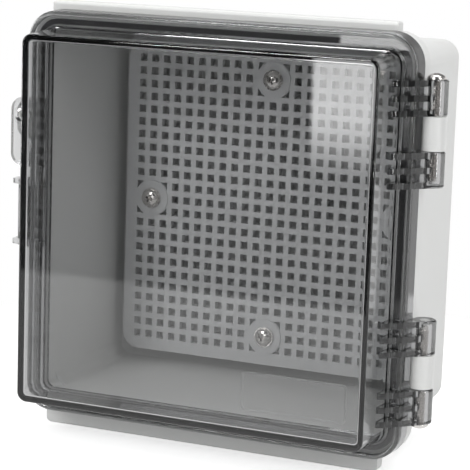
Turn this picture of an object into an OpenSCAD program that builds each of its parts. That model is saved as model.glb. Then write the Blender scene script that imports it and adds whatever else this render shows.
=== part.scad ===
// Hinged polycarbonate enclosure: a pale base with a perforated mounting plate,
// and a smoke-clear deep lid on two screw-pinned hinges, held by a side latch.
// Drawn from the front: X runs to the right, Y runs back from the lid's face,
// Z runs up. The origin is under the middle of the case, where it stands.

/* [Case] */
// Width and height of the lid over its skirt
lid_w = 212; // [208:0.4:226]
// Depth from the lid's face to the back of the base
case_d = 126; // [120:1:150]
// Depth of the lid, from its face to the parting line
lid_d = 36; // [34:0.5:42]
// Wall thickness of both mouldings
wall = 3; // [2.6:0.1:3.2]
// How far the upper ledge stands out past the lid
ledge_top_out = 4.2; // [3.6:0.2:12]
// How far the lower ledge stands out past the lid
ledge_bottom_out = 9.4; // [5:0.2:14]
// Length of each ledge
ledge_l = 188; // [160:1:190]

/* [Mounting plate] */
// Holes along each side of the mounting plate
plate_holes = 23; // [19:2:23]
// Distance from one plate hole to the next
pitch = 7; // [6.4:0.1:7]
// Width of one square plate hole
hole_w = 4; // [3:0.1:4.4]
// Thickness of the mounting plate
plate_t = 4; // [3:0.5:5]
// Space between the mounting plate and the back of the base
plate_gap = 17; // [12:0.5:20]

/* [Hinges] */
// Half the distance between the centres of the two hinges
hinge_z = 58.8; // [50:0.2:60]
// Height of one hinge knuckle
knuckle_h = 17.4; // [16:0.2:18]
// Radius of one lid knuckle
knuckle_r = 6; // [5.8:0.1:6.3]
// Radius of a hinge screw's shank
hinge_pin_r = 2.5; // [2:0.1:3]

/* [Latch] */
// Distance between the centres of the two latch ears
ear_span = 32.2; // [26:0.2:36]
// Radius of the latch pin
latch_pin_r = 1.5; // [1.2:0.1:1.8]
// Radius of the padlock hole
padlock_r = 3.5; // [2.5:0.1:4]
// Height of the padlock hole above the middle
padlock_z = 49.4; // [46:0.2:52]

/* [Hidden] */
$fn = 64;

base_colour = [0.86, 0.86, 0.84];
lid_colour = [0.5, 0.52, 0.53, 0.5];
plate_colour = [0.55, 0.56, 0.57];
steel_colour = [0.78, 0.78, 0.8];
brass_colour = [0.8, 0.65, 0.3];
rubber_colour = [0.08, 0.08, 0.08];

stand_h = lid_w / 2 + ledge_bottom_out;

// Corner centres: every lid outline is drawn round one, so its rounding grows outwards
skirt_r = 16;
lid_c = lid_w / 2 - skirt_r;
body_c = lid_c - 3;

// Depths of the lid's steps
gutter_d = lid_d - 8.6;
step_d = lid_d - 13.8;
skirt_end = lid_d - 0.4;
channel_d = lid_d - 5.8;
lip_d = lid_d - 1.4;

// Offsets of the lid's outline from its corner centre
edge_r = 1.6;
inner_fillet = 1.2;
face_r = 5.2;
step_r = 6.8;
lip_r = 4.4;
channel_in = lip_r + wall;
channel_out = channel_in + 4;
bead_r = 1.3;

// Base
rim_r = 15.4;
rim_d = 10;
rim_back = lid_d + rim_d;
tongue_in = 8.2;
tongue_out = 10.6;
tongue_d = lid_d - 2.2;
draft = 1.8;
body_r = 11.4;
back_r = 7;
back_edge_d = case_d - back_r;
ledge_front = lid_d + 0.6;
ledge_t = 7.4;
ledge_round = 2;
ledge_shift = -3;
ledge_root = lid_w / 2 - 6;

// Hinge axis, latch axis and their parts
hinge_x = lid_w / 2 + 6;
hinge_mid = -0.8;
knuckle_edge = 1;
bore_floor = 2;
barrel_r = 5.6;
barrel_h = knuckle_h - 0.8;
web_t = 3;
web_nose_r = 2.6;
web_nose = [lid_c + 7.2, lid_d - 18.4];
latch_x = lid_w / 2 + 4.6;
latch_d = lid_d - 2;
latch_mid = -1.6;
lever_r = 3.6;
ear_t = 3;
lever_w = ear_span - ear_t - 0.6;
fit = 0.05;

// Padlock lugs
lug_reach = hinge_x + knuckle_r;
lug_low = padlock_z - 26.4;
lug_high = padlock_z + 9.6;
lug_t = 3.2;
lug_round = 6.5;
padlock_x = lid_w / 2 + 6.6;
seal_r = 1.3;
seal_z = padlock_z + 5.9;

// Mounting plate and its fixings
plate_w = (plate_holes - 1) * pitch + 17.5;
plate_back = case_d - plate_gap;
plate_front = plate_back - plate_t;
plate_round = 9;
fixing_r = (plate_holes - 3) / 2 * pitch;
pad_r = 10.1;
pad_t = 0.6;
insert_l = 8;
insert_r = 2.9;
screw_r = 2;
washer_t = 1;
washer_r = 5.5;
wall_insert_r = 3.3;
wall_thread_r = 2.1;
wall_fix = body_c - 9;
wall_insert_l = 9;
floor_d = case_d - wall - 0.2;

// Puts a shape drawn round the middle of the lid's face where the case stands
module stand() {
    translate([0, -case_d / 2, stand_h]) children();
}

// Carries a section, drawn as [distance past c, depth], once round a rounded square
module frame_sweep(c) {
    for (turn = [0:90:270]) {
        rotate([0, turn, 0]) {
            translate([c, 0, 0])
                linear_extrude(2 * c, center = true) children();
            translate([c, 0, -c])
                rotate([-90, 0, 0])
                    rotate_extrude(angle = 90) children();
        }
    }
}

// A flat rounded rectangle seen from the front, from one depth to another
module front_slab(size, r, d0, d1) {
    translate([0, d1, 0])
        rotate([90, 0, 0])
            linear_extrude(d1 - d0) rounded_rect(size, r);
}

module rounded_rect(size, r) {
    square([size[0] - 2 * r, size[1]], center = true);
    square([size[0], size[1] - 2 * r], center = true);
    for (x = [-1, 1], y = [-1, 1])
        translate([x * (size[0] / 2 - r), y * (size[1] / 2 - r)]) circle(r);
}

// A round bar along Y, from one depth to another
module bar_y(x, z, r, d0, d1) {
    translate([x, d0, z])
        rotate([-90, 0, 0]) cylinder(r = r, h = d1 - d0);
}

// A thing drawn for the upper hinge, at the upper and the lower hinge
module at_hinges() {
    translate([0, 0, hinge_mid]) children();
    translate([0, 0, hinge_mid]) mirror([0, 0, 1]) children();
}

// Cylinder with both of its edges rounded, standing on z = 0
module rounded_drum(r, h, edge) {
    rotate_extrude()
        union() {
            square([r - edge, h]);
            translate([0, edge]) square([r, h - 2 * edge]);
            for (z = [edge, h - edge])
                translate([r - edge, z]) circle(edge);
        }
}

// The four places where the mounting plate is screwed down: top, right, bottom, left
module at_fixing(i) {
    rotate([0, 90 * i, 0]) translate([0, 0, fixing_r]) children();
}

// The four wall-fixing places: upper right, lower right, lower left, upper left
module at_corner(i) {
    rotate([0, 90 * i, 0]) translate([wall_fix, 0, wall_fix]) children();
}

// Unit normal of the outer tangent line from a circle p, r to a circle q, s
function tangent_normal(p, r, q, s) =
    let (d = q - p, a = atan2(d[1], d[0]) - acos((r - s) / norm(d)))
    [cos(a), sin(a)];

// ---- Base ----

// Wall of the base from under the rim to the back, with its draft and rounded back edge
module body_section() {
    inner_r = body_r - wall;
    difference() {
        union() {
            polygon([
                [0, rim_back - 2], [body_r, rim_back - 2],
                [body_r - draft, back_edge_d], [0, back_edge_d]
            ]);
            intersection() {
                translate([body_r - draft - back_r, back_edge_d]) circle(back_r);
                square_to(body_r, back_edge_d - 1, case_d);
            }
            square_to(body_r - draft - back_r, back_edge_d - 1, case_d);
        }
        polygon([
            [-1, rim_back - 3], [inner_r, rim_back - 3],
            [inner_r - draft, back_edge_d], [inner_r - draft - 3, floor_d],
            [-1, floor_d]
        ]);
    }
}

module square_to(r, d0, d1) {
    translate([0, d0]) square([r, d1 - d0]);
}

// Rim of the base: sealing tongue, flange and the flange's back face
module rim_section() {
    polygon([
        [5.2, lid_d], [tongue_in, lid_d], [tongue_in, tongue_d + 0.6],
        [tongue_in + 0.5, tongue_d], [tongue_out - 0.5, tongue_d],
        [tongue_out, tongue_d + 0.6], [tongue_out, lid_d],
        [rim_r - 0.5, lid_d], [rim_r, lid_d + 0.5],
        [rim_r, rim_back - 0.5], [rim_r - 0.5, rim_back],
        [9.4, rim_back], [8.3, rim_back + 1.1], [8.2, rim_back + 3], [5.2, rim_back + 3]
    ]);
}

// Bull-nosed ledge along the rim: out is how far it stands out past the lid,
// end_r how round its ends are seen from the front
module ledge(out, end_r) {
    reach = lid_w / 2 + out;
    intersection() {
        translate([ledge_shift, 0, 0])
            rotate([0, 90, 0])
                linear_extrude(ledge_l, center = true)
                    union() {
                        polygon([
                            [-ledge_root, ledge_front], [-reach + ledge_round, ledge_front],
                            [-reach, ledge_front + ledge_round],
                            [-reach, ledge_front + ledge_t - 1],
                            [-reach + 1, ledge_front + ledge_t], [-ledge_root, ledge_front + ledge_t]
                        ]);
                        translate([-reach + ledge_round, ledge_front + ledge_round])
                            circle(ledge_round);
                    }
        translate([ledge_shift, 0, reach - 20])
            front_slab([ledge_l, 40], end_r, ledge_front - 1, ledge_front + ledge_t + 1);
    }
}

// Bracket and barrel of one hinge, drawn from above
module barrel_plan() {
    translate([hinge_x, lid_d]) circle(barrel_r);
    polygon([
        [hinge_x, lid_d], [hinge_x + barrel_r - 0.1, lid_d + 0.8],
        [hinge_x + 4.4, lid_d + 6.5], [lid_w / 2 - 7.2, lid_d + 27],
        [lid_w / 2 - 7.2, rim_back - 1], [lid_w / 2 - 1, rim_back - 1],
        [lid_w / 2 - 1, lid_d + 1.2], [hinge_x - 4.6, lid_d + 1.2]
    ]);
}

module hinge_barrel() {
    translate([0, 0, hinge_z - barrel_h / 2])
        linear_extrude(barrel_h) barrel_plan();
}

// Flat lug for a padlock, on the left; inset brings its edge in, low is its lower end
module lug_outline(inset, low) {
    root_x = lid_w / 2 - 1.5;
    w = lug_reach - inset - root_x + lug_round;
    h = lug_high - inset - low;
    intersection() {
        translate([-root_x + lug_round - w / 2, low + h / 2])
            rounded_rect([w, h], lug_round - inset / 2);
        translate([-lug_reach - 1, low - 1])
            square([lug_reach + 1 - root_x, h + 2]);
    }
}

module lug(inset, low, d0, d1) {
    translate([0, d1, 0])
        rotate([90, 0, 0])
            linear_extrude(d1 - d0) lug_outline(inset, low);
}

module base() {
    color(base_colour)
        stand()
            difference() {
                union() {
                    frame_sweep(body_c) body_section();
                    frame_sweep(lid_c) rim_section();
                    translate([-body_c, floor_d, -body_c])
                        cube([2 * body_c, case_d - floor_d, 2 * body_c]);
                    ledge(ledge_top_out, 1.4);
                    mirror([0, 0, 1]) ledge(ledge_bottom_out, 3.4);
                    at_hinges() hinge_barrel();
                    lug(1.4, padlock_z - 12, lid_d + 0.4, lid_d + 4.6);
                    base_bosses();
                }
                at_hinges()
                    translate([hinge_x, lid_d, hinge_z - barrel_h])
                        cylinder(r = hinge_pin_r + 0.08, h = 2 * barrel_h);
                bar_y(-padlock_x, padlock_z, padlock_r, lid_d - 1, lid_d + 6);
                bar_y(-padlock_x, seal_z, seal_r, lid_d - 1, lid_d + 6);
                for (i = [0:3]) {
                    at_fixing(i)
                        bar_y(0, 0, insert_r, plate_back - 1, plate_back + insert_l + 0.5);
                    at_corner(i)
                        bar_y(0, 0, wall_insert_r, case_d - wall_insert_l - 0.5, case_d + 1);
                }
                back_recess();
            }
}

// Bosses behind the plate, each on ribs, and the blind wall-fixing bosses in the corners
module base_bosses() {
    for (i = [0:3]) {
        at_fixing(i) {
            bar_y(0, 0, 7, plate_back, floor_d + 1);
            for (a = [45:90:315])
                rotate([0, a, 0])
                    translate([5.5, plate_back + 4, -0.8])
                        cube([6.5, floor_d - plate_back - 3, 1.6]);
        }
        at_corner(i)
            bar_y(0, 0, wall_insert_r + 2.8, case_d - wall_insert_l - 3, floor_d + 1);
    }
}

// Shallow relief in the middle of the back, so that the case bears on its border
module back_recess() {
    front_slab([2 * wall_fix - 26, 2 * wall_fix + 6], 8, case_d - 0.8, case_d + 1);
}

// ---- Mounting plate ----

module plate_outline() {
    half = (plate_holes - 1) / 2;
    difference() {
        rounded_rect([plate_w, plate_w], plate_round);
        difference() {
            for (i = [-half:half], j = [-half:half])
                translate([i * pitch, j * pitch]) square(hole_w, center = true);
            for (a = [0:90:270])
                rotate(a) translate([fixing_r, 0]) circle(pad_r);
        }
    }
}

module mounting_plate() {
    color(plate_colour)
        stand()
            difference() {
                union() {
                    translate([0, plate_back, 0])
                        rotate([90, 0, 0]) linear_extrude(plate_t) plate_outline();
                    for (i = [0:3])
                        at_fixing(i) bar_y(0, 0, pad_r - 0.4, plate_front - pad_t, plate_front + 1);
                }
                for (i = [0:3])
                    at_fixing(i) bar_y(0, 0, screw_r + 0.3, plate_front - 2, plate_back + 1);
            }
}

// Brass insert with a threaded hole, a collar at its mouth and a groove round it
module insert(r, bore, l) {
    rotate([-90, 0, 0])
        difference() {
            cylinder(r = r - 0.02, h = l);
            translate([0, 0, -1]) cylinder(r = bore, h = l + 2);
            translate([0, 0, l * 0.45])
                difference() {
                    cylinder(r = r + 1, h = l * 0.12);
                    translate([0, 0, -1]) cylinder(r = r - 0.5, h = l * 0.12 + 2);
                }
        }
}

module plate_insert(i) {
    color(brass_colour)
        stand() at_fixing(i)
            translate([0, plate_back + 0.1, 0]) insert(insert_r, screw_r + 0.03, insert_l);
}

module plate_washer(i) {
    d = plate_front - pad_t - washer_t;
    color(steel_colour)
        stand() at_fixing(i)
            difference() {
                bar_y(0, 0, washer_r, d, d + washer_t);
                bar_y(0, 0, screw_r + 0.25, d - 1, d + washer_t + 1);
            }
}

// Pan-head machine screw with a cross recess: head from z = 0 up, shank down
module pan_screw(head_r, head_h, shank_r, shank_l) {
    dome_r = (head_r * head_r + head_h * head_h) / (2 * head_h) * 1.15;
    difference() {
        union() {
            intersection() {
                cylinder(r = head_r, h = head_h);
                translate([0, 0, head_h - dome_r]) sphere(dome_r);
            }
            translate([0, 0, -shank_l]) cylinder(r = shank_r, h = shank_l + 0.5);
        }
        for (a = [0, 90])
            rotate(a)
                translate([-head_r * 0.55, -head_r * 0.12, head_h * 0.35])
                    cube([head_r * 1.1, head_r * 0.24, head_h]);
    }
}

module plate_screw(i) {
    color(steel_colour)
        stand() at_fixing(i)
            translate([0, plate_front - pad_t - washer_t, 0])
                rotate([90, 20, 0]) pan_screw(4, 2.6, screw_r, plate_t + washer_t + insert_l - 1);
}

module wall_insert(i) {
    color(brass_colour)
        stand() at_corner(i)
            translate([0, case_d - wall_insert_l, 0])
                insert(wall_insert_r, wall_thread_r, wall_insert_l);
}

// ---- Lid ----

// The lid's edge, drafted side, gutter, bead and skirt, and the channel for its gasket
module lid_section() {
    difference() {
        union() {
            polygon([
                [0, 0], [face_r - edge_r, 0], [face_r, edge_r], [step_r, step_d],
                [step_r + 0.7, gutter_d - 1.2], [step_r + 1.9, gutter_d],
                [skirt_r - 3.2, gutter_d], [skirt_r - 3.2, gutter_d - 0.5],
                [skirt_r - 0.6, gutter_d - 0.5], [skirt_r, skirt_end], [0, skirt_end]
            ]);
            translate([face_r - edge_r, edge_r]) circle(edge_r);
            translate([skirt_r - 3.2 + bead_r, gutter_d - 0.5]) circle(bead_r);
        }
        polygon([
            [-1, wall], [face_r - wall - 0.915 * inner_fillet, wall],
            [face_r - wall + 0.08 * inner_fillet, wall + 0.912 * inner_fillet],
            [step_r - wall, step_d], [lip_r, gutter_d], [lip_r, lid_d + 1], [-1, lid_d + 1]
        ]);
        translate([face_r - wall - 0.915 * inner_fillet, wall + inner_fillet])
            circle(inner_fillet);
        translate([channel_in, channel_d])
            square([channel_out - channel_in, lid_d]);
        translate([lip_r - 1, lip_d])
            square([wall + 1.5, lid_d]);
    }
}

// One web of a hinge knuckle, drawn from above: a round nose on the lid's side wall,
// a straight front edge down to the knuckle, and a foot along the gutter and skirt
module web_plan() {
    axis = [hinge_x, lid_d];
    foot_r = knuckle_r - knuckle_edge;
    n = tangent_normal(web_nose, web_nose_r, axis, foot_r);
    translate(web_nose) circle(web_nose_r);
    polygon([
        web_nose + web_nose_r * n, axis + foot_r * n, axis,
        [lid_c + 13.8, skirt_end], [lid_c + 13.4, gutter_d + 1.4],
        [lid_c + 6, gutter_d + 1.4], [lid_c + 5.4, web_nose[1]], web_nose
    ]);
}

// A lid knuckle: a round barrel carried on three webs, open between them
module knuckle() {
    translate([hinge_x, lid_d, 0]) rounded_drum(knuckle_r, knuckle_h, knuckle_edge);
    for (i = [0:2])
        translate([0, 0, i * (knuckle_h - web_t) / 2])
            linear_extrude(web_t) web_plan();
}

// Ear that holds one end of the latch pin, drawn from above on the left
module ear_plan() {
    tip = [-lid_w / 2 - 9.4, latch_d + 0.4];
    pin = [-latch_x, latch_d];
    translate(tip) circle(2.4);
    translate(pin) circle(3.8);
    polygon([
        [-lid_w / 2 + 1.8, gutter_d + 1.6], [pin[0], latch_d - 3.7],
        [tip[0], tip[1] - 2.3], [tip[0], tip[1] + 2.3], [pin[0], latch_d + 3.7],
        [-lid_w / 2 - 0.4, skirt_end], [-lid_w / 2 + 1.8, skirt_end]
    ]);
}

// One latch ear, its tip rounded also as seen from the front
module latch_ear() {
    tip = lid_w / 2 + 11.8;
    intersection() {
        translate([0, 0, -ear_t / 2]) linear_extrude(ear_t) ear_plan();
        translate([0, lid_d + 8, 0])
            rotate([90, 0, 0])
                linear_extrude(24)
                    union() {
                        translate([-tip + ear_t / 2, 0]) circle(ear_t / 2);
                        translate([-tip + ear_t / 2, -ear_t / 2]) square([20, ear_t]);
                    }
    }
}

// Hollow in the skirt between the ears, which gives the lever room
module lever_hollow() {
    translate([-lid_c - skirt_r, 0, latch_mid])
        front_slab([4.2, ear_span - ear_t + 1.6], 2, gutter_d - 4, lid_d + 1);
}

// Padlock lug of the lid: a flat tab with a raised border and a boss round its hole
module lid_lug() {
    d1 = skirt_end - 0.2;
    d0 = d1 - lug_t;
    difference() {
        lug(0, lug_low, d0 - 1, d1);
        lug(1.6, lug_low + 1.6, d0 - 2, d0);
    }
    bar_y(-padlock_x, padlock_z, padlock_r + 1.2, d0 - 0.6, d1);
}

// Thin raised border of the label field, inside the window
module label_border() {
    w = 55;
    h = 19.5;
    translate([58, wall + 0.6, -72.8])
        rotate([90, 0, 0])
            linear_extrude(1.2)
                difference() {
                    rounded_rect([w, h], 2.5);
                    rounded_rect([w - 1.4, h - 1.4], 1.8);
                }
}

module lid() {
    color(lid_colour)
        stand()
            difference() {
                union() {
                    frame_sweep(lid_c) lid_section();
                    translate([-lid_c, 0, -lid_c])
                        cube([2 * lid_c, wall, 2 * lid_c]);
                    label_border();
                    at_hinges()
                        for (side = [-1, 1])
                            translate([0, 0, hinge_z + side * knuckle_h - knuckle_h / 2])
                                knuckle();
                    for (side = [-1, 1])
                        translate([0, 0, latch_mid + side * ear_span / 2]) latch_ear();
                    lid_lug();
                }
                at_hinges()
                    translate([hinge_x, lid_d, hinge_z - knuckle_h * 1.5 + bore_floor])
                        cylinder(r = hinge_pin_r + 0.03, h = 3 * knuckle_h);
                lever_hollow();
                translate([-latch_x, latch_d, latch_mid - ear_span])
                    cylinder(r = latch_pin_r + 0.02, h = 2 * ear_span);
                bar_y(-padlock_x, padlock_z, padlock_r, lid_d - 8, lid_d + 1);
                bar_y(-padlock_x, seal_z, seal_r, lid_d - 8, lid_d + 1);
            }
}

// Gasket in the lid's channel, with a lip that meets the tongue
module gasket() {
    inset = 0.1;
    color(rubber_colour)
        stand()
            frame_sweep(lid_c)
                polygon([
                    [channel_in + inset, channel_d + 0.05], [channel_out - inset, channel_d + 0.05],
                    [channel_out - inset, channel_d + 2.2], [channel_out - 0.9, channel_d + 3.1],
                    [channel_in + 0.9, channel_d + 3.1], [channel_in + inset, channel_d + 2.2]
                ]);
}

// Hinge screw: its head stands on the outer knuckle and its shank is the hinge's pin
module hinge_screw() {
    top = hinge_z + knuckle_h * 1.5;
    translate([hinge_x, lid_d, top + 0.05])
        rotate(25) pan_screw(4.2, 3, hinge_pin_r, knuckle_h * 3 - bore_floor - 0.8);
}

module hinge_screw_upper() {
    color(steel_colour) stand() translate([0, 0, hinge_mid]) hinge_screw();
}

module hinge_screw_lower() {
    color(steel_colour)
        stand() translate([0, 0, hinge_mid]) mirror([0, 0, 1]) hinge_screw();
}

// ---- Latch ----

module latch_pin() {
    half = ear_span / 2 + ear_t / 2 + 0.9;
    color(steel_colour)
        stand()
            translate([-latch_x, latch_d, latch_mid - half]) cylinder(r = latch_pin_r, h = 2 * half);
}

// The lever from above: round its pin, back along the side, a hook behind the rim
// and a thumb tab that flares outwards
module lever_plan() {
    x = lid_w / 2;
    translate([-latch_x, latch_d]) circle(lever_r);
    polygon([
        [-x - 1.1, latch_d], [-x - 1.1, rim_back - 0.4], [-x - 0.5, rim_back + 0.5],
        [-x + 3.6, rim_back + 0.5], [-x + 4.2, rim_back + 1.2], [-x + 3.6, rim_back + 3.4],
        [-x - 2.2, rim_back + 5.2], [-x - 8.2, rim_back + 11.4], [-x - 9.6, rim_back + 11.4],
        [-x - 10.4, rim_back + 10.2], [-x - 5.6, rim_back + 2.4],
        [-latch_x - lever_r + 0.2, latch_d + 5], [-latch_x - lever_r, latch_d]
    ]);
}

module latch_lever() {
    color(lid_colour)
        stand() translate([0, 0, latch_mid])
            difference() {
                translate([0, 0, -lever_w / 2]) linear_extrude(lever_w) lever_plan();
                translate([-latch_x, latch_d, -lever_w])
                    cylinder(r = latch_pin_r + fit, h = 2 * lever_w);
                lever_pocket();
                lever_corners();
            }
}

// Pocket in the lever's outer face, which keeps the moulding one thickness
module lever_pocket() {
    x = lid_w / 2;
    translate([-x - 12, latch_d + 5.2, -lever_w / 2 + 2.4])
        cube([12 - 3.4, rim_back - latch_d - 4.4, lever_w - 4.8]);
}

// Cut-off corners at the free end of the thumb tab
module lever_corners() {
    end_d = rim_back + 11.4;
    for (side = [-1, 1])
        translate([-lid_w / 2 - 6, end_d, side * lever_w / 2])
            rotate([0, 90, 0]) rotate(45) cube([6, 6, 24], center = true);
}

base();
mounting_plate();
plate_insert(0);  // plate_insert_top
plate_insert(1);  // plate_insert_right
plate_insert(2);  // plate_insert_bottom
plate_insert(3);  // plate_insert_left
plate_washer(0);  // plate_washer_top
plate_washer(1);  // plate_washer_right
plate_washer(2);  // plate_washer_bottom
plate_washer(3);  // plate_washer_left
plate_screw(0);  // plate_screw_top
plate_screw(1);  // plate_screw_right
plate_screw(2);  // plate_screw_bottom
plate_screw(3);  // plate_screw_left
wall_insert(0);  // wall_insert_upper_right
wall_insert(1);  // wall_insert_lower_right
wall_insert(2);  // wall_insert_lower_left
wall_insert(3);  // wall_insert_upper_left
lid();
gasket();
hinge_screw_upper();
hinge_screw_lower();
latch_pin();
latch_lever();
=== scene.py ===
import bpy
import bmesh
import math
from mathutils import Matrix, Vector


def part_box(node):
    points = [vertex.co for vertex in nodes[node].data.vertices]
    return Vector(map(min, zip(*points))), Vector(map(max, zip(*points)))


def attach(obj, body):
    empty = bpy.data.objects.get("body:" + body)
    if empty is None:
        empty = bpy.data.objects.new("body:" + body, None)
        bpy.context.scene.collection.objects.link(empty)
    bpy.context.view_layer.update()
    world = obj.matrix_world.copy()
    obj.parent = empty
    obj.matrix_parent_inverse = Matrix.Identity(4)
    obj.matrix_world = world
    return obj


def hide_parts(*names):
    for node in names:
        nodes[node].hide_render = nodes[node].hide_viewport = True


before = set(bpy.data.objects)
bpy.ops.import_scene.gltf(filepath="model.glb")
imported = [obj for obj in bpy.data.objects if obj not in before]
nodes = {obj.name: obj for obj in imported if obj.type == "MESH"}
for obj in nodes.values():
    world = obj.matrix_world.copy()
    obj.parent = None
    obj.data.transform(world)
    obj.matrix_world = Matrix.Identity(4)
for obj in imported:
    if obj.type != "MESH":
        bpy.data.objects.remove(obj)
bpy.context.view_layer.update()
MM = 0.001
WHITE = (1, 1, 1, 1)
THREAD_DEPTH = 0.54  # share of the pitch


# ---- Camera ----

def aim_camera():
    """A long lens from the right and a little above, with a slight roll."""
    turn, rise, roll = (math.radians(angle) for angle in (23.234, 10.318, 1.957))
    aim, distance = Vector((-0.0206, 0.0435, 0.0991)), 1.0928
    away = Vector((math.sin(turn) * math.cos(rise), -math.cos(turn) * math.cos(rise), math.sin(rise)))
    right = Vector((math.cos(turn), math.sin(turn), 0))
    up = away.cross(right)
    side = right * math.cos(roll) + up * math.sin(roll)
    top = up * math.cos(roll) - right * math.sin(roll)
    place = aim + away * distance
    camera = bpy.data.objects.new("camera", bpy.data.cameras.new("camera"))
    bpy.context.scene.collection.objects.link(camera)
    camera.data.sensor_width = 36
    camera.data.lens = 153.65
    camera.data.clip_end = 50
    camera.matrix_world = Matrix((
        (side.x, top.x, away.x, place.x),
        (side.y, top.y, away.y, place.y),
        (side.z, top.z, away.z, place.z),
        (0, 0, 0, 1)))
    bpy.context.scene.camera = camera


# ---- Node helpers ----

def put(tree, kind, **inputs):
    """A shader node of that kind; inputs are values or links, by input name with _ for a space."""
    n = tree.nodes.new("ShaderNode" + kind)
    for name, value in inputs.items():
        feed(tree, n.inputs[name.replace("_", " ")], value)
    return n


def feed(tree, socket, value):
    """Links a socket to an input, or sets the input to a plain value."""
    if isinstance(value, bpy.types.NodeSocket):
        tree.links.new(value, socket)
    else:
        socket.default_value = value


def sums(tree, operation, *values):
    """The output of a Math node."""
    n = tree.nodes.new("ShaderNodeMath")
    n.operation = operation
    for socket, value in zip(n.inputs, values):
        feed(tree, socket, value)
    return n.outputs[0]


def spread(tree, value, low, high, to_low, to_high):
    """A value carried from one range to another, and held at its ends."""
    n = put(tree, "MapRange", Value=value, From_Min=low, From_Max=high, To_Min=to_low, To_Max=to_high)
    return n.outputs["Result"]


def blend_colours(tree, factor, a, b):
    """Colour a where the factor is 0, and b where it is 1."""
    n = tree.nodes.new("ShaderNodeMix")
    n.data_type = "RGBA"
    feed(tree, n.inputs[0], factor)
    feed(tree, n.inputs[6], a)
    feed(tree, n.inputs[7], b)
    return n.outputs[2]


def grey(level):
    return (level, level, level, 1)


def finish_material(name):
    """An empty material and its node tree."""
    material = bpy.data.materials.new(name)
    material.use_nodes = True
    material.node_tree.nodes.clear()
    return material, material.node_tree


def close_material(tree, surface, volume=None):
    """Joins a surface, and a volume where there is one, to the material's output."""
    out = tree.nodes.new("ShaderNodeOutputMaterial")
    tree.links.new(surface, out.inputs["Surface"])
    if volume is not None:
        tree.links.new(volume, out.inputs["Volume"])


def new_group(name, ins, outs):
    """A shader node group with named value inputs, and outputs given as name and socket type."""
    group = bpy.data.node_groups.new(name, "ShaderNodeTree")
    for label, value in ins:
        s = group.interface.new_socket(label, in_out="INPUT", socket_type="NodeSocketFloat")
        s.default_value = value
    for label, kind in outs:
        group.interface.new_socket(label, in_out="OUTPUT", socket_type=kind)
    return group, group.nodes.new("NodeGroupInput"), group.nodes.new("NodeGroupOutput")


def use_group(tree, group, **inputs):
    n = tree.nodes.new("ShaderNodeGroup")
    n.node_tree = group
    for name, value in inputs.items():
        feed(tree, n.inputs[name.replace("_", " ")], value)
    return n


# ---- Shared surface effects ----

def make_moulded_skin():
    """The fine eroded texture of a moulded surface, with slow waves of the flow under it."""
    g, i, o = new_group("moulded_skin", [("Grain Size", 1600.0), ("Wave Size", 30.0), ("Wave Share", 0.5)],
                        [("Height", "NodeSocketFloat"), ("Tone", "NodeSocketFloat")])
    place = put(g, "TexCoord").outputs["Object"]
    grain = put(g, "TexNoise", Vector=place, Scale=i.outputs["Grain Size"], Detail=3.0, Roughness=0.6)
    wave = put(g, "TexNoise", Vector=place, Scale=i.outputs["Wave Size"], Detail=1.0, Roughness=0.4)
    waves = sums(g, "MULTIPLY", wave.outputs["Fac"], i.outputs["Wave Share"])
    g.links.new(sums(g, "ADD", grain.outputs["Fac"], waves), o.inputs["Height"])
    g.links.new(wave.outputs["Fac"], o.inputs["Tone"])
    return g


def make_handling():
    """Faint smears and specks of dust left by hands and shelves: a mask from 0 to 1."""
    g, i, o = new_group("handling", [("Size", 14.0), ("Amount", 0.5)], [("Mask", "NodeSocketFloat")])
    place = put(g, "TexCoord").outputs["Object"]
    patch = put(g, "TexNoise", Vector=place, Scale=i.outputs["Size"], Detail=4.0, Roughness=0.65, Distortion=0.4)
    patches = spread(g, patch.outputs["Fac"], 0.48, 0.72, 0.0, 1.0)
    speck = put(g, "TexVoronoi", Vector=place, Scale=420.0)
    specks = spread(g, speck.outputs["Distance"], 0.05, 0.09, 1.0, 0.0)
    some = spread(g, put(g, "TexNoise", Vector=place, Scale=90.0, Detail=1.0).outputs["Fac"], 0.6, 0.66, 0.0, 1.0)
    both = sums(g, "MAXIMUM", sums(g, "MULTIPLY", patches, 0.7), sums(g, "MULTIPLY", specks, some))
    g.links.new(sums(g, "MULTIPLY", both, i.outputs["Amount"]), o.inputs["Mask"])
    return g


moulded_skin = make_moulded_skin()
handling = make_handling()


# ---- Materials ----

def field_mask(t, place, centre, half_width, half_height):
    """1 inside a rectangle that faces the front, 0 outside it, with a narrow soft edge."""
    split = put(t, "SeparateXYZ", Vector=place)
    across = sums(t, "ABSOLUTE", sums(t, "SUBTRACT", split.outputs["X"], centre[0]))
    height = sums(t, "ABSOLUTE", sums(t, "SUBTRACT", split.outputs["Z"], centre[1]))
    edge = 0.4 * MM
    wide = spread(t, across, half_width, half_width + edge, 1.0, 0.0)
    high = spread(t, height, half_height, half_height + edge, 1.0, 0.0)
    return sums(t, "MULTIPLY", wide, high)


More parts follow.
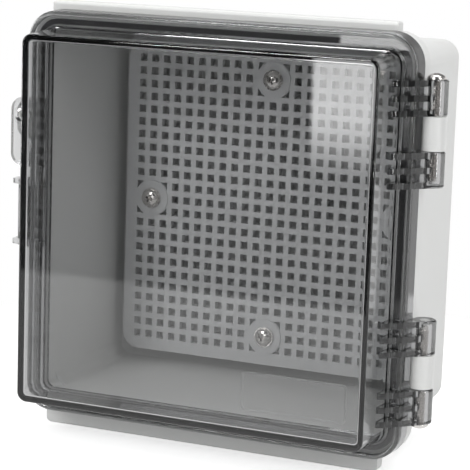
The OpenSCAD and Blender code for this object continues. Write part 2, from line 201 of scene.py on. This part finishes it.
def smoke_clear():
    """Polished smoke-tinted polycarbonate, with a matt field for a label low in the window.

    It darkens with the depth that light crosses. Lamps shine through it without caustics."""
    material, t = finish_material("smoke_clear_polycarbonate")
    place = put(t, "TexCoord").outputs["Object"]
    skin = use_group(t, moulded_skin, Grain_Size=90.0, Wave_Size=22.0, Wave_Share=1.0)
    hands = use_group(t, handling, Size=11.0, Amount=1.0)
    bump = put(t, "Bump", Height=skin.outputs["Height"], Strength=0.006, Distance=0.001)
    gloss = spread(t, hands.outputs["Mask"], 0.3, 1.0, 0.0, 0.02)
    label_field = field_mask(t, place, (0.058, 0.0426), 0.0272, 0.0095)
    gloss = sums(t, "MAXIMUM", gloss, sums(t, "MULTIPLY", label_field, 0.24))
    body = put(t, "BsdfPrincipled", Base_Color=(0.97, 0.97, 0.972, 1), Roughness=gloss,
               Normal=bump.outputs["Normal"], Coat_Weight=label_field)
    body.inputs["Coat Roughness"].default_value = 0.45
    body.inputs["IOR"].default_value = 1.58
    body.inputs["Transmission Weight"].default_value = 1.0
    path = t.nodes.new("ShaderNodeLightPath")
    lamps = put(t, "BsdfTransparent", Color=WHITE)
    through = sums(t, "MAXIMUM", path.outputs["Is Shadow Ray"], path.outputs["Is Diffuse Ray"])
    mix = put(t, "MixShader", Fac=through)
    t.links.new(body.outputs[0], mix.inputs[1])
    t.links.new(lamps.outputs[0], mix.inputs[2])
    smoke = put(t, "VolumeAbsorption", Color=(0.30, 0.305, 0.31, 1), Density=126.0)
    close_material(t, mix.outputs[0], smoke.outputs[0])
    return material


def pale_polycarbonate():
    """Off-white base moulding with a fine eroded skin."""
    material, t = finish_material("pale_polycarbonate")
    skin = use_group(t, moulded_skin, Grain_Size=1500.0, Wave_Size=9.0, Wave_Share=1.6)
    hands = use_group(t, handling, Size=9.0, Amount=1.0)
    tone = blend_colours(t, skin.outputs["Tone"], (0.665, 0.67, 0.66, 1), (0.715, 0.72, 0.712, 1))
    colour = blend_colours(t, sums(t, "MULTIPLY", hands.outputs["Mask"], 0.25), tone, (0.6, 0.59, 0.56, 1))
    rough = spread(t, hands.outputs["Mask"], 0.0, 1.0, 0.42, 0.6)
    bump = put(t, "Bump", Height=skin.outputs["Height"], Strength=0.10, Distance=0.0004)
    body = put(t, "BsdfPrincipled", Base_Color=colour, Roughness=rough, Normal=bump.outputs["Normal"])
    body.inputs["IOR"].default_value = 1.58
    body.inputs["Coat Weight"].default_value = 0.08
    body.inputs["Coat Roughness"].default_value = 0.25
    close_material(t, body.outputs[0])
    return material


def grey_plate():
    """Satin grey panel plastic with faint draw lines."""
    material, t = finish_material("satin_grey_plate")
    place = put(t, "TexCoord").outputs["Object"]
    skin = use_group(t, moulded_skin, Grain_Size=900.0, Wave_Size=26.0, Wave_Share=0.8)
    stretch = put(t, "Mapping", Vector=place, Scale=(160.0, 160.0, 6.0))
    lines = put(t, "TexNoise", Vector=stretch.outputs[0], Scale=6.0, Detail=2.0)
    tone = blend_colours(t, skin.outputs["Tone"], (0.55, 0.555, 0.56, 1), (0.60, 0.605, 0.61, 1))
    colour = blend_colours(t, sums(t, "MULTIPLY", lines.outputs["Fac"], 0.2), tone, (0.48, 0.485, 0.49, 1))
    bump = put(t, "Bump", Height=skin.outputs["Height"], Strength=0.12, Distance=0.0003)
    rough = spread(t, lines.outputs["Fac"], 0.3, 0.7, 0.33, 0.42)
    body = put(t, "BsdfPrincipled", Base_Color=colour, Roughness=rough, Normal=bump.outputs["Normal"])
    close_material(t, body.outputs[0])
    return material


def bright_stainless():
    """Passivated stainless steel with fine cold-heading marks."""
    material, t = finish_material("bright_stainless")
    place = put(t, "TexCoord").outputs["Object"]
    marks = put(t, "TexNoise", Vector=place, Scale=900.0, Detail=3.0, Roughness=0.55)
    slow = put(t, "TexNoise", Vector=place, Scale=120.0, Detail=1.0)
    colour = blend_colours(t, slow.outputs["Fac"], (0.60, 0.58, 0.56, 1), (0.74, 0.72, 0.70, 1))
    rough = spread(t, marks.outputs["Fac"], 0.3, 0.7, 0.16, 0.30)
    bump = put(t, "Bump", Height=marks.outputs["Fac"], Strength=0.08, Distance=0.0002)
    body = put(t, "BsdfPrincipled", Base_Color=colour, Roughness=rough, Normal=bump.outputs["Normal"])
    body.inputs["Metallic"].default_value = 1.0
    close_material(t, body.outputs[0])
    return material


def turned_brass():
    """Free-cutting brass, turned and knurled."""
    material, t = finish_material("turned_brass")
    place = put(t, "TexCoord").outputs["Object"]
    marks = put(t, "TexNoise", Vector=place, Scale=700.0, Detail=2.0)
    colour = blend_colours(t, marks.outputs["Fac"], (0.66, 0.47, 0.20, 1), (0.80, 0.61, 0.30, 1))
    rough = spread(t, marks.outputs["Fac"], 0.3, 0.7, 0.22, 0.38)
    bump = put(t, "Bump", Height=marks.outputs["Fac"], Strength=0.1, Distance=0.0003)
    body = put(t, "BsdfPrincipled", Base_Color=colour, Roughness=rough, Normal=bump.outputs["Normal"])
    body.inputs["Metallic"].default_value = 1.0
    close_material(t, body.outputs[0])
    return material


def black_seal():
    """Closed-cell black rubber with its skin on."""
    material, t = finish_material("black_seal_rubber")
    place = put(t, "TexCoord").outputs["Object"]
    cells = put(t, "TexVoronoi", Vector=place, Scale=1400.0)
    slow = put(t, "TexNoise", Vector=place, Scale=60.0, Detail=2.0)
    colour = blend_colours(t, slow.outputs["Fac"], (0.012, 0.012, 0.013, 1), (0.03, 0.03, 0.031, 1))
    rough = spread(t, slow.outputs["Fac"], 0.3, 0.7, 0.6, 0.78)
    bump = put(t, "Bump", Height=cells.outputs["Distance"], Strength=0.3, Distance=0.0002)
    body = put(t, "BsdfPrincipled", Base_Color=colour, Roughness=rough, Normal=bump.outputs["Normal"])
    close_material(t, body.outputs[0])
    return material


clear = smoke_clear()
pale = pale_polycarbonate()
panel = grey_plate()
stainless = bright_stainless()
brass = turned_brass()
seal = black_seal()


def dress(name, material):
    slots = nodes[name].data.materials
    slots.clear()
    slots.append(material)


dress("base", pale)
dress("mounting_plate", panel)
dress("gasket", seal)
dress("lid", clear)
dress("latch_lever", clear)
dress("latch_pin", stainless)
for side in ("top", "right", "bottom", "left"):
    dress("plate_insert_" + side, brass)
    dress("plate_washer_" + side, stainless)
    dress("plate_screw_" + side, stainless)
for corner in ("upper_right", "lower_right", "lower_left", "upper_left"):
    dress("wall_insert_" + corner, brass)


# ---- Pan-head screws with threads ----

def keep_mesh(bm, name, material):
    """A finished bmesh as an object of that name, with its faces turned outwards."""
    bmesh.ops.remove_doubles(bm, verts=bm.verts, dist=1e-7)
    bmesh.ops.recalc_face_normals(bm, faces=bm.faces)
    mesh = bpy.data.meshes.new(name)
    bm.to_mesh(mesh)
    bm.free()
    mesh.materials.append(material)
    o = bpy.data.objects.new(name, mesh)
    bpy.context.scene.collection.objects.link(o)
    return o


def turned(bm, outline, steps=48):
    """Spins an outline of (radius, height) points, in mm, once round Z."""
    ring = [bm.verts.new((r * MM, 0, h * MM)) for r, h in outline]
    edges = [bm.edges.new(pair) for pair in zip(ring, ring[1:])]
    bmesh.ops.spin(bm, geom=ring + edges, cent=(0, 0, 0), axis=(0, 0, 1), dvec=(0, 0, 0),
                   angle=math.tau, steps=steps, use_merge=True, use_duplicate=False)


def thread(bm, crest, length, pitch, steps=20):
    """A 60 degree ridge wound down a shank, from under the head to just short of the tip."""
    root = crest - THREAD_DEPTH * pitch
    shape = [(root, -0.44), (crest, -0.08), (crest, 0.08), (root, 0.44)]
    ridge = [bm.verts.new((r * MM, 0, (h * pitch - 0.6 * pitch) * MM)) for r, h in shape]
    edges = [bm.edges.new(pair) for pair in zip(ridge, ridge[1:])]
    turns = int((length - 1.2 * pitch) / pitch)
    bmesh.ops.spin(bm, geom=ridge + edges, cent=(0, 0, 0), axis=(0, 0, 1), dvec=(0, 0, -pitch * MM / steps),
                   angle=math.tau * turns, steps=steps * turns, use_merge=False, use_duplicate=False)
    bmesh.ops.holes_fill(bm, edges=[e for e in bm.edges if e.is_boundary], sides=4)


def cross_cutter(size, depth, top):
    """A tapered cross, as the driver's point leaves it. It narrows downwards from the head's top."""
    bm = bmesh.new()
    bmesh.ops.create_cube(bm, size=1)
    flanks = [f for f in bm.faces if abs(f.normal.z) < 0.5]
    for arm in bmesh.ops.extrude_discrete_faces(bm, faces=flanks)["faces"]:
        bmesh.ops.translate(bm, verts=arm.verts, vec=arm.normal * 1.6)
    for v in bm.verts:
        deep = v.co.z < 0
        reach = size * (0.13 if deep else 0.24)
        v.co = Vector((v.co.x * reach, v.co.y * reach, top - depth if deep else top + 0.4)) * MM
    return keep_mesh(bm, "cross_cutter", stainless)


def pan_head(name, head_r, head_h):
    """The head of a pan-head screw, with its rounded rim and cross recess, standing on z = 0."""
    bm = bmesh.new()
    rim_h, steps = 0.4, 15
    outline = [(0, 0), (head_r - 0.3, 0), (head_r - 0.06, 0.14), (head_r, rim_h)]
    for k in range(1, steps):
        a = math.radians(90 * k / steps)
        outline.append((head_r * math.cos(a), rim_h + (head_h - rim_h) * math.sin(a)))
    outline.append((0, head_h))
    turned(bm, outline, 64)
    head = keep_mesh(bm, name, stainless)
    cutter = cross_cutter(head_r, head_h * 0.72, head_h)
    cut = head.modifiers.new("recess", "BOOLEAN")
    cut.operation, cut.object, cut.solver = "DIFFERENCE", cutter, "EXACT"
    mesh = bpy.data.meshes.new_from_object(head.evaluated_get(bpy.context.evaluated_depsgraph_get()))
    head.modifiers.clear()
    head.data = mesh
    bpy.data.objects.remove(cutter)
    return head


def machine_screw(node, body, crest, pitch, head_r, head_h, out, spin_by):
    """Stands for a screw's CAD node. Sizes are in mm, and out points from its shank through its head."""
    low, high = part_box(node)
    centre = (low + high) / 2
    out = Vector(out)
    long = abs((high - low).dot(out)) / MM
    length = long - head_h
    head = pan_head(node + "_detail", head_r, head_h)
    bm = bmesh.new()
    core = crest - THREAD_DEPTH * pitch
    turned(bm, [(0, 0), (crest, 0), (crest, -0.25), (core, -0.7), (core, -length + 0.6), (core - 0.5, -length),
                (0, -length)], 32)
    thread(bm, crest, length - 0.6, pitch)
    bm.from_mesh(head.data)
    bpy.data.objects.remove(head)
    quarter = Vector((0, 0, 1)).rotation_difference(out).to_matrix().to_4x4()
    seat = centre + out * (long / 2 - head_h) * MM
    bm.transform(Matrix.Translation(seat) @ quarter @ Matrix.Rotation(spin_by, 4, "Z"))
    screw = keep_mesh(bm, node + "_detail", stainless)
    screw.data.shade_smooth()
    screw.data.set_sharp_from_angle(angle=math.radians(38))
    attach(screw, body)
    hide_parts(node)


machine_screw("hinge_screw_upper", "lid", crest=2.48, pitch=0.8, head_r=4.7, head_h=3.0, out=(0, 0, 1), spin_by=0.9)
machine_screw("hinge_screw_lower", "lid", crest=2.48, pitch=0.8, head_r=4.7, head_h=3.0, out=(0, 0, -1), spin_by=0.4)
for turn, side in enumerate(("top", "right", "bottom", "left")):
    machine_screw("plate_screw_" + side, "base", crest=1.98, pitch=0.7, head_r=4.7, head_h=2.6, out=(0, -1, 0),
                  spin_by=0.35 + turn * 1.3)


# ---- Studio ----

def studio_world():
    """White to the camera; behind the case white too to clear plastic and gloss, a dim room in front."""
    world = bpy.data.worlds.new("studio")
    world.use_nodes = True
    t = world.node_tree
    t.nodes.clear()
    path = t.nodes.new("ShaderNodeLightPath")
    way = put(t, "TexCoord").outputs["Generated"]
    split = put(t, "SeparateXYZ", Vector=way)
    toward = sums(t, "MULTIPLY", split.outputs["Y"], -1.0)
    room = blend_colours(t, spread(t, toward, 0.2, 0.9, 0.0, 1.0), grey(0.62), grey(0.16))
    behind = spread(t, split.outputs["Y"], 0.1, 0.55, 0.0, 1.0)
    low_down = spread(t, split.outputs["Z"], 0.3, 0.6, 1.0, 0.0)
    card_behind = sums(t, "MULTIPLY", behind, low_down)
    sides = spread(t, toward, -0.1, 0.3, 0.36, 0.06)
    sides = sums(t, "MULTIPLY", sides, spread(t, split.outputs["Z"], 0.3, 0.8, 1.0, 0.3))
    mirrored = sums(t, "MAXIMUM", card_behind, sides)
    through = spread(t, toward, -0.45, 0.1, 1.0, 0.08)
    colour = blend_colours(t, path.outputs["Is Glossy Ray"], room, mirrored)
    colour = blend_colours(t, path.outputs["Is Transmission Ray"], colour, through)
    colour = blend_colours(t, path.outputs["Is Camera Ray"], colour, WHITE)
    sky = put(t, "Background", Color=colour, Strength=1.0)
    out = t.nodes.new("ShaderNodeOutputWorld")
    t.links.new(sky.outputs[0], out.inputs["Surface"])
    bpy.context.scene.world = world


def soft_light(name, place, aim, width, height, power):
    """A rectangular lamp at place that faces aim, which the camera doesn't see."""
    lamp = bpy.data.lights.new(name, "AREA")
    lamp.shape = "RECTANGLE"
    lamp.size, lamp.size_y, lamp.energy = width, height, power
    o = bpy.data.objects.new(name, lamp)
    bpy.context.scene.collection.objects.link(o)
    way = Vector(aim) - Vector(place)
    o.matrix_world = Matrix.Translation(place) @ way.to_track_quat("-Z", "Y").to_matrix().to_4x4()
    o.visible_camera = False
    return o


def pale_floor():
    """A pale floor that takes the case's shadow and turns to plain white away from it.

    Gloss sees it white as far as the table's front edge, and a dim room past that."""
    bm = bmesh.new()
    bmesh.ops.create_grid(bm, x_segments=1, y_segments=1, size=6)
    material, t = finish_material("pale_floor")
    path = t.nodes.new("ShaderNodeLightPath")
    place = put(t, "TexCoord").outputs["Object"]
    far = t.nodes.new("ShaderNodeVectorMath")
    far.operation = "LENGTH"
    t.links.new(place, far.inputs[0])
    away = spread(t, far.outputs["Value"], 0.12, 0.34, 0.0, 1.0)
    lit = put(t, "BsdfDiffuse", Color=grey(0.85))
    glow = put(t, "Emission", Color=WHITE, Strength=0.5)
    both = t.nodes.new("ShaderNodeAddShader")
    t.links.new(lit.outputs[0], both.inputs[0])
    t.links.new(glow.outputs[0], both.inputs[1])
    white = put(t, "Emission", Color=WHITE, Strength=1.0)
    fade = put(t, "MixShader", Fac=away)
    t.links.new(both.outputs[0], fade.inputs[1])
    t.links.new(white.outputs[0], fade.inputs[2])
    front = put(t, "SeparateXYZ", Vector=place).outputs["Y"]
    room = spread(t, front, -2.5, -0.5, 0.02, 0.16)
    table = spread(t, front, -0.46, -0.44, 0.0, 1.0)
    mirrored = blend_colours(t, table, room, WHITE)
    sheen = put(t, "Emission", Color=mirrored, Strength=1.0)
    seen = sums(t, "MAXIMUM", path.outputs["Is Camera Ray"], path.outputs["Is Transmission Ray"])
    mix = put(t, "MixShader", Fac=seen)
    t.links.new(lit.outputs[0], mix.inputs[1])
    t.links.new(fade.outputs[0], mix.inputs[2])
    gloss = put(t, "MixShader", Fac=path.outputs["Is Glossy Ray"])
    t.links.new(mix.outputs[0], gloss.inputs[1])
    t.links.new(sheen.outputs[0], gloss.inputs[2])
    close_material(t, gloss.outputs[0])
    floor = keep_mesh(bm, "floor", material)


def window_card():
    """A bright card in front, which only gloss sees: the pale reflection high in the window."""
    bm = bmesh.new()
    bmesh.ops.create_grid(bm, x_segments=1, y_segments=1, size=0.5)
    bmesh.ops.transform(bm, verts=bm.verts, matrix=Matrix.Translation((-0.03, -0.55, 0.12)) @
                        Matrix.Rotation(math.pi / 2, 4, "X") @ Matrix.Diagonal((0.22, 0.16, 1, 1)))
    material, t = finish_material("window_card")
    place = put(t, "TexCoord").outputs["Object"]
    split = put(t, "SeparateXYZ", Vector=place)
    rise = put(t, "MapRange", Value=split.outputs["Z"], From_Min=0.07, From_Max=0.128, To_Min=0.0, To_Max=1.0)
    rise.interpolation_type = "SMOOTHSTEP"
    edge = spread(t, split.outputs["X"], -0.1285, -0.1245, 0.0, 1.0)
    level = sums(t, "MULTIPLY", sums(t, "MULTIPLY", rise.outputs["Result"], edge), 5.2)
    glow = put(t, "Emission", Color=WHITE, Strength=level)
    clear_air = put(t, "BsdfTransparent", Color=WHITE)
    path = t.nodes.new("ShaderNodeLightPath")
    mix = put(t, "MixShader", Fac=path.outputs["Is Glossy Ray"])
    t.links.new(clear_air.outputs[0], mix.inputs[1])
    t.links.new(glow.outputs[0], mix.inputs[2])
    close_material(t, mix.outputs[0])
    card = keep_mesh(bm, "window_card", material)
    card.visible_camera = False
    card.visible_shadow = False


def edge_strip(name, place, aim, width, height, level):
    """A narrow bright strip that only gloss sees, for the fine lines along the edges."""
    lamp = soft_light(name, place, aim, width, height, level * math.pi * width * height)
    lamp.visible_diffuse = False
    lamp.visible_transmission = False


aim_camera()
studio_world()
pale_floor()
soft_light("key_soft", (1.3, -0.7, 1.1), (0, 0, 0.1), 0.8, 0.8, 6.5)
soft_light("top_soft", (0.1, 0.1, 1.6), (0.1, 0, 0.1), 1.2, 0.7, 10)
soft_light("front_soft", (-0.5, -1.36, 0.98), (0, 0, 0.12), 0.5, 0.6, 12.9)
window_card()
edge_strip("strip_above", (-1.2, 0.1, 1.6), (-1.2, 0, 0.1), 1.3, 0.3, 4)
edge_strip("strip_right", (1.0, -0.55, 0.15), (0.1, -0.03, 0.12), 0.12, 1.0, 9)
edge_strip("strip_left", (-1.0, -0.3, 0.15), (-0.1, -0.03, 0.12), 0.3, 1.0, 6)

bpy.context.scene.view_settings.view_transform = "Standard"
